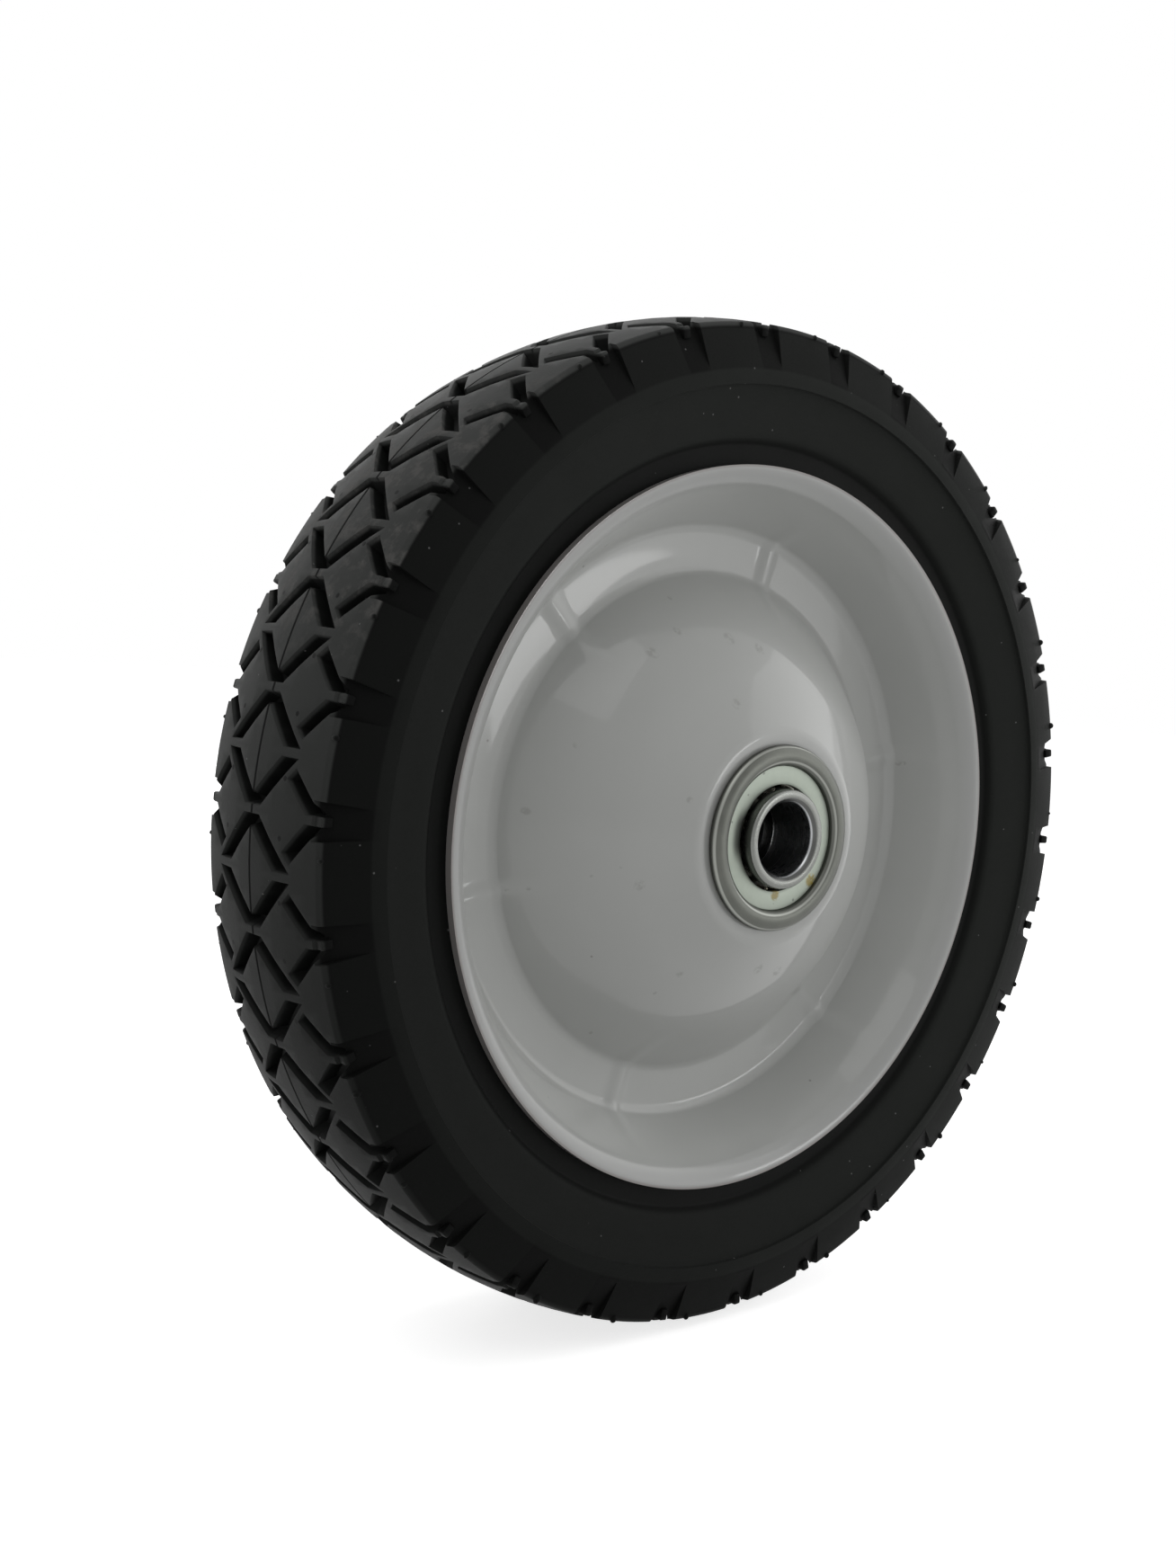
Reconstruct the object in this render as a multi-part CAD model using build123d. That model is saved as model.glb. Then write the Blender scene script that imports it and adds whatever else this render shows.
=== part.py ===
from build123d import *
import os
from math import asin, cos, degrees, radians, sqrt, tan

# Small mower wheel: a diamond-tread rubber tyre on two pressed steel half discs,
# with a shielded ball bearing in each disc. Millimetres and degrees.
# The axle line is Y, the front face looks to -Y and the origin is the wheel's centre.
# A reach is a distance from the wheel's middle plane towards a face.
# A turn is an angle about the axle line from the top towards +X.

# Tyre
tyre_r = 88.9
tyre_half_width = 19.05
tread_half_width = 16.6
crown_arc_r = 70.0
widest_r = 78.2
widest_land = 1.6
sidewall_step = 0.75
sidewall_slope = 2.1
bead_step_r = 68.0
bead_wall = 1.0
tyre_base_r = 57.0

# Tread
pitches = 30
tread_turn = 8.0
slot_depth = 2.7
slot_draft = 12.0
slot_angle = 46.0
slot_overrun = 2.0
chevron_floor = 1.75
chevron_lead = 0.5
edge_slot_floor = 1.4
edge_node = 16.0
node_rib = 1.3
slot_bridge = 0.9
notch_width = 6.0
notch_foot_width = 4.4
notch_depth = 1.5
notch_foot = 1.6

# Pressed half discs
sheet = 1.5
rim_r = 63.5
rim_reach = 16.4
lip_width = 2.6
lip_round = 2.0
band_outer_r = 53.4
band_inner_r = 45.2
band_round = 3.0
crease_r = 39.2
crease_reach = 8.4
dome_bulge = 1.1
dome_top_r = 18.6
collar_depth = 7.4
collar_round = 1.2

# Ribs pressed across the clamping band
press_ribs = 6
press_rib_turn = 16.0
press_rib_width = 5.2
press_rib_height = 0.8
press_rib_overlap = 1.0

# Bearings
axle_d = 12.7
bore_play = 0.05
hub_reach = 25.7
inner_race_r = 8.63
inner_race_length = 12.7
mouth_chamfer = 0.85
lip_chamfer = 0.45
balls = 10
ball_d = 6.35
ball_circle_r = 10.95
ball_reach = 18.0
ball_play = 0.06
outer_race_r = 15.1
outer_race_length = 9.3
outer_land_r = 12.0
flange_r = 16.1
flange_reach = 22.9
flange_height = 1.6
flange_edge = 0.5
shield_r = 12.6
shield_hole_r = 9.25
shield_thickness = 0.9

# Fits between pieces of the wheel
tyre_gap = 0.1
press_gap = 0.02

pitch_angle = 360 / pitches
groove_r = ball_d / 2 + ball_play


def at(radius, reach):
    """A point of a ring's section: radius along X, the front face towards -Y."""
    return (radius, -reach)


def turned(section):
    """A ring turned about the axle line."""
    return revolve(section, Axis.Y)


def around(count, first_turn):
    """Evenly spaced turns about the axle line."""
    return [Rot(Y=first_turn + 360 / count * step) for step in range(count)]


def crown_drop(reach):
    """How far the tread's rounded crown has fallen at a reach."""
    return crown_arc_r - sqrt(crown_arc_r**2 - reach**2)


def to_rear(piece):
    """The same piece on the other side of the wheel."""
    return mirror(piece, Plane.XZ)


def wall_back_r(reach):
    """Radius of the tyre's seat on the dished wall's hidden side, at a reach."""
    run = rim_r - lip_width - band_outer_r
    rise = rim_reach - sheet
    offset = (sheet + tyre_gap) * sqrt(run**2 + rise**2) / rise
    return band_outer_r + offset + (reach - sheet) * run / rise


# Tyre: half of the section is drawn, doubled across the middle plane and turned
shoulder_r = tyre_r - crown_drop(tread_half_width)


def tyre_blank():
    bead_reach = rim_reach - sheet - tyre_gap
    seat_slope = (wall_back_r(bead_reach) - wall_back_r(0)) / bead_reach
    base_reach = (tyre_base_r - wall_back_r(0)) / seat_slope
    sidewall_reach = tyre_half_width - sidewall_step
    outline = Polyline(
        at(tyre_r, 0),
        at(tyre_base_r, 0),
        at(tyre_base_r, base_reach),
        at(wall_back_r(bead_reach), bead_reach),
        at(bead_step_r - bead_wall, bead_reach),
        at(bead_step_r, sidewall_reach - sidewall_slope),
        at(widest_r - widest_land, sidewall_reach),
        at(widest_r - widest_land, tyre_half_width),
        at(widest_r, tyre_half_width),
        at(shoulder_r, tread_half_width),
    )
    crown_half_angle = degrees(asin(tread_half_width / crown_arc_r))
    crown = CenterArc((tyre_r - crown_arc_r, 0), crown_arc_r, -crown_half_angle, crown_half_angle)
    half = make_face(outline + crown)
    return turned(half + to_rear(half))


# Tread: pockets drawn on the plane of their floors, a quarter pitch beside a node of the lattice
floor_r = tyre_r - slot_depth
quarter_pitch = floor_r * tan(radians(pitch_angle / 4))
draft_spread = slot_depth * tan(radians(slot_draft))
near_end = node_rib / 2 + draft_spread - slot_depth * tan(radians(pitch_angle / 4))
far_end = 2 * quarter_pitch - near_end
slot_slope = tan(radians(slot_angle))
slot_across = 1 / cos(radians(slot_angle))
chevron_side = chevron_floor / 2 * slot_across
edge_side = edge_slot_floor / 2 * slot_across
edge_drop = crown_drop(edge_node * 3 / 4)


def pocket(corners, drop):
    """A drafted pocket, from its floor's corners as (distance from the node, reach)."""
    points = [at(distance - quarter_pitch, reach) for distance, reach in corners]
    floor = Pos(Z=floor_r - drop) * make_face(Polyline(*points, close=True))
    return extrude(floor, slot_depth + drop + slot_overrun, taper=-slot_draft)


def chevron_pocket():
    """Two slots that meet on the middle plane and run out to the next rib."""
    near_reach = slot_slope * (near_end - chevron_lead)
    far_reach = slot_slope * (far_end - chevron_lead)
    arm = [
        (near_end, near_reach + chevron_side),
        (far_end, far_reach + chevron_side),
        (far_end, far_reach - chevron_side),
    ]
    apex = (chevron_lead + chevron_side / slot_slope, 0)
    other_arm = [(distance, -reach) for distance, reach in reversed(arm)]
    return pocket(arm + [apex] + other_arm, 0)


def edge_pocket():
    """The slot from a shoulder node back to the bridge beside the chevron's arm."""
    near_reach = edge_node - slot_slope * near_end
    bridge = chevron_side + (slot_bridge + 2 * draft_spread) * slot_across

    def end(offset):
        distance = (edge_node + offset - bridge + slot_slope * chevron_lead) / (2 * slot_slope)
        return (distance, edge_node + offset - slot_slope * distance)

    start = [(near_end, near_reach + edge_side), (near_end, near_reach - edge_side)]
    return pocket(start + [end(-edge_side), end(edge_side)], edge_drop)


def shoulder_notch():
    """A channel down the shoulder band at a node, round the end of the node's rib."""
    corner = Vector(widest_r, tyre_half_width)
    foot = corner + (Vector(shoulder_r, tread_half_width) - corner).normalized() * notch_foot
    edge = Vector(shoulder_r, tread_half_width - notch_depth)
    top = edge + (edge - foot) * ((tyre_r + slot_overrun - shoulder_r) / (edge - foot).X)
    outside = tyre_half_width + slot_overrun
    corners = [(foot.X, foot.Y), (top.X, top.Y), (top.X, outside), (foot.X, outside)]
    section = make_face(Polyline(*[(-reach, radius) for radius, reach in corners], close=True))
    wedge = extrude(Plane.YZ * section, notch_width, both=True)
    half_foot = notch_foot_width / 2
    flare = (notch_width / 2 - half_foot) / (shoulder_r - foot.X)
    half_top = half_foot + flare * (top.X - foot.X)
    sides = [(half_foot, foot.X), (half_top, top.X), (-half_top, top.X), (-half_foot, foot.X)]
    channel = wedge & extrude(Plane.XZ * make_face(Polyline(*sides, close=True)), outside, both=True)
    rib_foot = floor_r - edge_drop
    rib_end = Pos(Z=(rib_foot + top.X) / 2) * Box(node_rib, 2 * tread_half_width, top.X - rib_foot)
    return channel - rib_end


def tread_cuts():
    edge = edge_pocket()
    beside = [Rot(Y=pitch_angle / 4) * tool for tool in (chevron_pocket(), edge, to_rear(edge))]
    node = beside + [shoulder_notch()]
    node = node + [Rot(Z=180) * tool for tool in node]
    return [turn * tool for turn in around(pitches, tread_turn) for tool in node]


def tyre():
    return tyre_blank() - tread_cuts()


# Half disc: the shown side of the sheet from the rim to the bearing collar, thickened inwards
def disc_sheet():
    collar_r = outer_race_r + press_gap
    dish = FilletPolyline(
        at(rim_r, rim_reach),
        at(rim_r - lip_width, rim_reach),
        at(band_outer_r, sheet),
        at(band_inner_r, sheet),
        at(crease_r, crease_reach),
        radius=[lip_round, band_round, band_round],
    )
    dome = SagittaArc(at(crease_r, crease_reach), at(dome_top_r, flange_reach), dome_bulge)
    neck = FilletPolyline(
        at(dome_top_r, flange_reach),
        at(collar_r, flange_reach),
        at(collar_r, flange_reach - collar_depth),
        radius=collar_round,
    )
    shown_side = Wire([*dish.edges(), *dome.edges(), *neck.edges()])
    return turned(make_face(offset(shown_side, sheet, side=Side.RIGHT)))


def press_rib(width, height, base):
    """A round-backed bar that lies across the clamping band at the top of the wheel."""
    arch = ThreePointArc((-width / 2, -base), (0, -base - height), (width / 2, -base))
    foot = Polyline((-width / 2, -base), (-width / 2, 0), (width / 2, 0), (width / 2, -base))
    length = band_outer_r - band_inner_r + 2 * press_rib_overlap
    return extrude(Pos(Z=band_inner_r - press_rib_overlap) * make_face(arch + foot), length)


def front_disc():
    rib = press_rib(press_rib_width, press_rib_height, sheet)
    turns = around(press_ribs, press_rib_turn)
    return disc_sheet() + [turn * rib for turn in turns]


# Bearing pieces, all turned about the axle line
def groove_end(land_r):
    """Half the width of the ball groove where it breaks a land."""
    return sqrt(groove_r**2 - (land_r - ball_circle_r) ** 2)


def ball_groove(land_r, bottom_r):
    half = groove_end(land_r)
    return ThreePointArc(
        at(land_r, ball_reach + half), at(bottom_r, ball_reach), at(land_r, ball_reach - half)
    )


def outer_race():
    half = groove_end(outer_land_r)
    end_reach = flange_reach - outer_race_length
    seat_r = shield_r + press_gap
    bead_foot = flange_reach + flange_edge
    outline = Polyline(
        at(outer_land_r, ball_reach - half),
        at(outer_land_r, end_reach),
        at(outer_race_r, end_reach),
        at(outer_race_r, flange_reach),
        at(flange_r, flange_reach),
        at(flange_r, bead_foot),
    )
    bead_top = at((flange_r + seat_r) / 2, flange_reach + flange_height)
    bead_inside = at(seat_r, flange_reach + shield_thickness)
    bead = ThreePointArc(at(flange_r, bead_foot), bead_top, bead_inside)
    mouth = Polyline(
        bead_inside,
        at(seat_r, flange_reach),
        at(outer_land_r, flange_reach),
        at(outer_land_r, ball_reach + half),
    )
    groove = ball_groove(outer_land_r, ball_circle_r + groove_r)
    return turned(make_face(outline + bead + mouth + groove))


def inner_race():
    half = groove_end(inner_race_r)
    bore_r = axle_d / 2 + bore_play
    end_reach = hub_reach - inner_race_length
    outline = Polyline(
        at(inner_race_r, ball_reach - half),
        at(inner_race_r, end_reach),
        at(bore_r, end_reach),
        at(bore_r, hub_reach - mouth_chamfer),
        at(bore_r + mouth_chamfer, hub_reach),
        at(inner_race_r - lip_chamfer, hub_reach),
        at(inner_race_r, hub_reach - lip_chamfer),
        at(inner_race_r, ball_reach + half),
    )
    groove = ball_groove(inner_race_r, ball_circle_r - groove_r)
    return turned(make_face(outline + groove))


def shield():
    corners = [
        at(shield_hole_r, flange_reach),
        at(shield_r, flange_reach),
        at(shield_r, flange_reach + shield_thickness),
        at(shield_hole_r, flange_reach + shield_thickness),
    ]
    return turned(make_face(Polyline(*corners, close=True)))


def ball(turn):
    return turn * Pos(0, -ball_reach, ball_circle_r) * Sphere(ball_d / 2)


def ball_set(side):
    """The loose balls of the front bearing, named for one side of the wheel."""
    turns = around(balls, 0)
    return {f"{side}_ball_{number}": ball(turn) for number, turn in enumerate(turns, 1)}


# Every piece under its own name, the rear ones mirrored from the front ones
front_pieces = {
    "disc": front_disc(),
    "outer_race": outer_race(),
    "inner_race": inner_race(),
    "shield": shield(),
}
pieces = {"tyre": tyre()}
for name, piece in front_pieces.items():
    pieces[f"front_{name}"] = piece
    pieces[f"rear_{name}"] = to_rear(piece)
pieces.update(ball_set("front"))
for name, piece in ball_set("rear").items():
    pieces[name] = to_rear(piece)

os.makedirs("parts", exist_ok=True)
for name, piece in pieces.items():
    export_step(piece, f"parts/{name}.step")
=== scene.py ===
# %% [markdown]
# A small mower wheel: a solid rubber tyre with a diamond tread, gripped between two pressed
# steel half discs that are painted white, with a flanged ball bearing in the hub of each.
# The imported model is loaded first, as a fixed frame. It gives every piece its place and its
# moving body, so nothing has to be fitted by eye. Sizes below are in millimetres, because
# that is how such a wheel is drawn, and one factor takes each finished mesh to metres.

# %% Load the frame
import math
import random
import bmesh
import bpy
from mathutils import Matrix, Vector


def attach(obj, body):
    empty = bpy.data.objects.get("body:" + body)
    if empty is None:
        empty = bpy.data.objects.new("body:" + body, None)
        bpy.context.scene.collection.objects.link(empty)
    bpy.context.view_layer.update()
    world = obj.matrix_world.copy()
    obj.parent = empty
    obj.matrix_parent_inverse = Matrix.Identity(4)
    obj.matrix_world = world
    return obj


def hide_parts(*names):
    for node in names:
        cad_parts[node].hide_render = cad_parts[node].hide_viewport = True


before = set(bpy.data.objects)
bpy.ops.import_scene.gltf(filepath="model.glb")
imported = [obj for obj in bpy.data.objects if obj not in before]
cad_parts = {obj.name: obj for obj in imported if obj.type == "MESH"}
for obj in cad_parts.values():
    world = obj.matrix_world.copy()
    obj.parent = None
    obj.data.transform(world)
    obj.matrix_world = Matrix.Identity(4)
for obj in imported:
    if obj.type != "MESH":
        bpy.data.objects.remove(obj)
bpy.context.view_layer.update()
MM = 0.001

# %% [markdown]
# The camera stands in front of the wheel, to its left and a little above the axle. Its place
# was found by fitting the rim's ellipse in the picture, so that the ring's tilt, its size and
# the widening towards the near edge all agree. A short lens close to the wheel gives that
# widening; a long lens from further off would flatten it.

# %% Camera
eye = Vector((-213.65, -228.79, 32.31)) * MM
look = Vector((0.6359, 0.7670, -0.0857)).normalized()
upright = Vector((0.0, 0.1110, 0.9938))
side = look.cross(upright).normalized()
upright = side.cross(look)
lens_data = bpy.data.cameras.new("camera")
lens_data.sensor_width = 36.0
lens_data.lens = 39.49
lens_data.clip_start = 0.01
camera = bpy.data.objects.new("camera", lens_data)
bpy.context.scene.collection.objects.link(camera)
turn = Matrix((side, upright, -look)).transposed()
camera.matrix_world = Matrix.Translation(eye) @ turn.to_4x4()
bpy.context.scene.camera = camera
print("camera is", round(eye.length / MM), "mm from the wheel's centre")

# %% [markdown]
# Every ring of this wheel has a section, a line of points with a radius and a reach. The
# reach is the distance from the wheel's middle plane towards the front face. A corner may
# carry a third number, the length that is rounded off on each side of it, and the bevel
# operator turns that corner into an arc. Rounding a wire before it is spun is much cheaper
# than rounding the edges of the finished ring, and it never runs into its neighbours.


# %% Section wires
def section_wire(bm, corners, closed=False, segments=4):
    """A wire through (radius, reach[, rounding]) points, standing in the plane X = 0."""
    verts = [bm.verts.new((0.0, -c[1], c[0])) for c in corners]
    pairs = list(zip(verts, verts[1:]))
    if closed:
        pairs.append((verts[-1], verts[0]))
    for pair in pairs:
        bm.edges.new(pair)
    for vert, corner in zip(verts, corners):
        if len(corner) > 2:
            bmesh.ops.bevel(
                bm, geom=[vert], offset=corner[2], offset_type="OFFSET", segments=segments,
                profile=0.5, affect="VERTICES", material=-1,
            )


def spin_section(bm, steps):
    """Spin the wire once round the axle line and close the seam."""
    bmesh.ops.spin(
        bm, geom=bm.verts[:] + bm.edges[:], cent=(0, 0, 0), axis=(0, 1, 0), dvec=(0, 0, 0),
        angle=math.tau, steps=steps, use_merge=True, use_duplicate=False,
    )
    bmesh.ops.remove_doubles(bm, verts=bm.verts[:], dist=0.002)
    bmesh.ops.recalc_face_normals(bm, faces=bm.faces[:])


def finish_piece(bm, name, body, stands_for, sharp_angle=32):
    """Put a bmesh drawn in millimetres into the scene as a piece that rides on a body."""
    bmesh.ops.scale(bm, vec=(MM, MM, MM), verts=bm.verts[:])
    mesh = bpy.data.meshes.new(name)
    bm.to_mesh(mesh)
    bm.free()
    mesh.shade_smooth()
    mesh.set_sharp_from_angle(angle=math.radians(sharp_angle))
    piece = bpy.data.objects.new(name, mesh)
    bpy.context.scene.collection.objects.link(piece)
    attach(piece, body)
    if stands_for:
        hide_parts(stands_for)
    mesh.calc_loop_triangles()
    print(name, "has", len(mesh.loop_triangles), "triangles")
    return piece


# %% [markdown]
# The tyre is moulded, so its tread is one small pattern repeated thirty times. That pattern is
# drawn flat first, like a rubber tile: x runs round the wheel, y runs over the skin from the
# seam on the crown down to the bead, and z is the height. On a flat tile the slots are plain
# polygons that can be inset and bevelled. Then the tile is wrapped over the tyre's section.
# A Boolean cut on the finished ring would give ragged triangles that do not bevel well.

# %% The tyre's section
TYRE_R = 88.9
CROWN_ARC = 70.0
TREAD_HALF = 16.6
PITCHES = 30
TREAD_TURN = 8.0


def crown_r(reach):
    return TYRE_R - CROWN_ARC + math.sqrt(CROWN_ARC**2 - reach**2)


shoulder_r = crown_r(TREAD_HALF)
crown = [(crown_r(reach), reach) for reach in (0, 2.8, 5.6, 8.4, 11.2, 14.0)]
WIDEST_R, WIDEST_REACH = 78.2, 19.05
sidewall = [
    (shoulder_r, TREAD_HALF, 0.5),
    (82.5, 17.84),
    (WIDEST_R, WIDEST_REACH, 1.5),
    (76.6, 19.05, 0.55),
    (76.6, 18.3, 0.3),
    (72.3, 17.25),
    (68.0, 16.2, 0.8),
    (67.0, 14.8, 0.3),
    (61.89, 14.8),
    (57.0, 5.09),
    (57.0, 0.0),
]
line_bm = bmesh.new()
section_wire(line_bm, crown + sidewall, segments=3)
line_bm.verts.ensure_lookup_table()
walk = [next(v for v in line_bm.verts if abs(v.co.y) < 1e-6 and v.co.z > 80)]
while True:
    onward = [e.other_vert(walk[-1]) for e in walk[-1].link_edges]
    onward = [v for v in onward if len(walk) < 2 or v != walk[-2]]
    if not onward:
        break
    walk.append(onward[0])
skin = [(v.co.z, -v.co.y) for v in walk]
line_bm.free()
skin_run = [0.0]
for a, b in zip(skin, skin[1:]):
    skin_run.append(skin_run[-1] + math.dist(a, b))
print("skin line:", len(skin), "points,", round(skin_run[-1], 1), "mm from seam to base")

# %% [markdown]
# A quarter of the tile is enough to draw: half a pitch wide and half a tread tall. It holds
# half of a chevron slot, which starts at a thin rib on the seam and runs out to the next rib,
# and one edge slot, which starts at the shoulder and stops at a narrow bridge beside the
# chevron. Four faces cover it: two of rubber and two that become slots.

# %% Quarter of a tread tile
pitch = math.tau * TYRE_R / PITCHES
half_pitch = pitch / 2
SLOT_SLOPE = math.tan(math.radians(46))
RIB_HALF = 0.65
CHEVRON_LEAD = 0.5
CHEVRON_HALF = 1.45 * math.hypot(1, SLOT_SLOPE)
EDGE_NODE = 16.0
EDGE_HALF = 1.27 * math.hypot(1, SLOT_SLOPE)
BRIDGE = 0.9 * math.hypot(1, SLOT_SLOPE)
TREAD_TOP = 16.2
SLOT_DEPTH = 2.7
DRAFT_SPREAD = 0.57
SLOT_EDGE = 0.34


def chevron_line(x, offset):
    return SLOT_SLOPE * (x - CHEVRON_LEAD) + offset


def edge_end(offset):
    x = (EDGE_NODE + offset - CHEVRON_HALF - BRIDGE + SLOT_SLOPE * CHEVRON_LEAD) / (2 * SLOT_SLOPE)
    return (x, EDGE_NODE + offset - SLOT_SLOPE * x)


far = half_pitch - RIB_HALF
bridge_x = edge_end(-EDGE_HALF)[0] + 0.4
tile_points = {
    "seam_node": (0, 0),
    "seam_mid": (half_pitch, 0),
    "top_node": (0, TREAD_TOP),
    "top_mid": (half_pitch, TREAD_TOP),
    "chevron_foot": (RIB_HALF, 0),
    "chevron_near": (RIB_HALF, chevron_line(RIB_HALF, CHEVRON_HALF)),
    "chevron_bridge": (bridge_x, chevron_line(bridge_x, CHEVRON_HALF)),
    "chevron_far": (far, chevron_line(far, CHEVRON_HALF)),
    "chevron_back": (far, chevron_line(far, -CHEVRON_HALF)),
    "chevron_heel": (CHEVRON_LEAD + CHEVRON_HALF / SLOT_SLOPE, 0),
    "edge_near": (RIB_HALF, EDGE_NODE - EDGE_HALF - SLOT_SLOPE * RIB_HALF),
    "edge_mouth": (RIB_HALF, TREAD_TOP),
    "edge_lip": ((EDGE_NODE + EDGE_HALF - TREAD_TOP) / SLOT_SLOPE, TREAD_TOP),
    "edge_outer": edge_end(EDGE_HALF),
    "edge_inner": edge_end(-EDGE_HALF),
}
RUBBER, CHEVRON, EDGE = 0, 1, 2
tile_faces = [
    (RUBBER, "seam_node chevron_foot chevron_near chevron_bridge edge_inner edge_near edge_mouth top_node"),
    (
        RUBBER,
        "chevron_bridge chevron_far chevron_back chevron_heel seam_mid top_mid edge_lip edge_outer edge_inner",
    ),
    (CHEVRON, "chevron_foot chevron_heel chevron_back chevron_far chevron_bridge chevron_near"),
    (EDGE, "edge_near edge_inner edge_outer edge_lip edge_mouth"),
]
tile = bmesh.new()
corner = {name: tile.verts.new((x, y, 0)) for name, (x, y) in tile_points.items()}
for kind, names in tile_faces:
    face = tile.faces.new([corner[name] for name in names.split()])
    face.material_index = kind
bmesh.ops.recalc_face_normals(tile, faces=tile.faces[:])
for face in tile.faces:
    if face.normal.z < 0:
        face.normal_flip()
print("quarter tile:", len(tile.faces), "faces", round(half_pitch, 2), "by", TREAD_TOP, "mm")

# %% [markdown]
# Mirroring the quarter twice gives a whole pitch. The two halves of a chevron are joined into
# one face, and the two long ends are pulled out to become shoulder, sidewall and bead. Then
# one inset sinks the slots with sloping sides, as a mould needs to let the rubber go, and one
# bevel softens every edge that the inset made.

# %% Whole tile with slots
for axis in "XY":
    bmesh.ops.mirror(
        tile, geom=tile.verts[:] + tile.edges[:] + tile.faces[:], matrix=Matrix.Identity(4),
        merge_dist=0.001, axis=axis,
    )
for face in tile.faces:
    if face.normal.z < 0:
        face.normal_flip()
across_seam = [
    e for e in tile.edges
    if len(e.link_faces) == 2 and all(f.material_index == CHEVRON for f in e.link_faces)
]
bmesh.ops.dissolve_edges(tile, edges=across_seam, use_verts=True)
for way in (-1, 1):
    ends = [e for e in tile.edges if all(abs(v.co.y - way * TREAD_TOP) < 1e-4 for v in e.verts)]
    pulled = bmesh.ops.extrude_edge_only(tile, edges=ends)["geom"]
    new_verts = [g for g in pulled if isinstance(g, bmesh.types.BMVert)]
    for face in {f for v in new_verts for f in v.link_faces}:
        face.material_index = RUBBER
    bmesh.ops.translate(tile, vec=(0, way * (skin_run[-1] - TREAD_TOP), 0), verts=new_verts)
tile.normal_update()
for face in tile.faces:
    if face.normal.z < 0:
        face.normal_flip()
slots = [f for f in tile.faces if f.material_index in (CHEVRON, EDGE)]
bmesh.ops.inset_individual(
    tile, faces=slots, thickness=DRAFT_SPREAD, depth=-SLOT_DEPTH, use_even_offset=True,
)
tile.normal_update()
edges = [e for e in tile.edges if len(e.link_faces) == 2 and e.calc_face_angle(0.0) > 0.3]
bmesh.ops.bevel(
    tile, geom=edges, offset=SLOT_EDGE, offset_type="OFFSET", segments=2, profile=0.5,
    affect="EDGES", clamp_overlap=True, material=-1,
)
print("tile with slots:", len(tile.faces), "faces from", len(slots), "slots")

# %% [markdown]
# The tile has to bend, so it is cut into strips along both ways before it is wrapped, with one
# cut at each point of the section. The mould's two halves meet on the crown, and leave a fine
# line there: the tile is pressed in a little along it.

# %% Cut the tile for bending
BEND_CUTS = 12
SEAM_HALF = 0.28
SEAM_DEPTH = 0.2


def cut_tile(point, normal):
    geom = tile.verts[:] + tile.edges[:] + tile.faces[:]
    bmesh.ops.bisect_plane(tile, geom=geom, dist=1e-4, plane_co=point, plane_no=normal)


for step in range(1, BEND_CUTS):
    cut_tile((-half_pitch + pitch * step / BEND_CUTS, 0, 0), (1, 0, 0))
for run in skin_run[1:-1] + [SEAM_HALF]:
    for way in (-1, 1):
        cut_tile((0, way * run, 0), (0, 1, 0))
for vert in tile.verts:
    if abs(vert.co.y) < 1e-3 and vert.co.z > -0.1:
        vert.co.z -= SEAM_DEPTH
print("tile for bending:", len(tile.faces), "faces")


# %% Wrap the tile over the section
def skin_point(run):
    for i, end in enumerate(skin_run[1:]):
        if run <= end + 1e-6:
            part = (run - skin_run[i]) / (end - skin_run[i])
            return [a + (b - a) * part for a, b in zip(skin[i], skin[i + 1])]
    return list(skin[-1])


for vert in tile.verts:
    radius, reach = skin_point(abs(vert.co.y))
    radius += vert.co.z
    angle = vert.co.x / TYRE_R
    facing = -math.copysign(1, vert.co.y)
    vert.co = (radius * math.sin(angle), facing * reach, radius * math.cos(angle))
tile.normal_update()
print("wrapped: radius", round(max(math.hypot(v.co.x, v.co.z) for v in tile.verts), 2), "mm")

# %% [markdown]
# At each shoulder node a shallow channel runs down the band from the mouths of the two edge
# slots. It is cut like wood: a saw cut down each flank, one along the sloping floor, the loose
# chip removed, and the three faces that the saws leave filled in.

# %% Shoulder channels
NOTCH_HALF = 3.0
NOTCH_FOOT_HALF = 2.2
NOTCH_DEPTH = 1.5
NOTCH_FOOT = 1.6
band = Vector((shoulder_r - WIDEST_R, TREAD_HALF - WIDEST_REACH)).normalized()
foot_r, foot_reach = WIDEST_R + band.x * NOTCH_FOOT, WIDEST_REACH + band.y * NOTCH_FOOT
flank_rise = shoulder_r - foot_r
floor_fall = foot_reach - (TREAD_HALF - NOTCH_DEPTH)


def near_notch(facing):
    """The faces of one shoulder, with their edges and corners."""
    middles = [(f, f.calc_center_median()) for f in tile.faces]
    faces = [f for f, middle in middles if middle.y * facing > 10 and middle.z > foot_r - 2]
    return list({g for f in faces for g in (f, *f.edges, *f.verts)})


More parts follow.
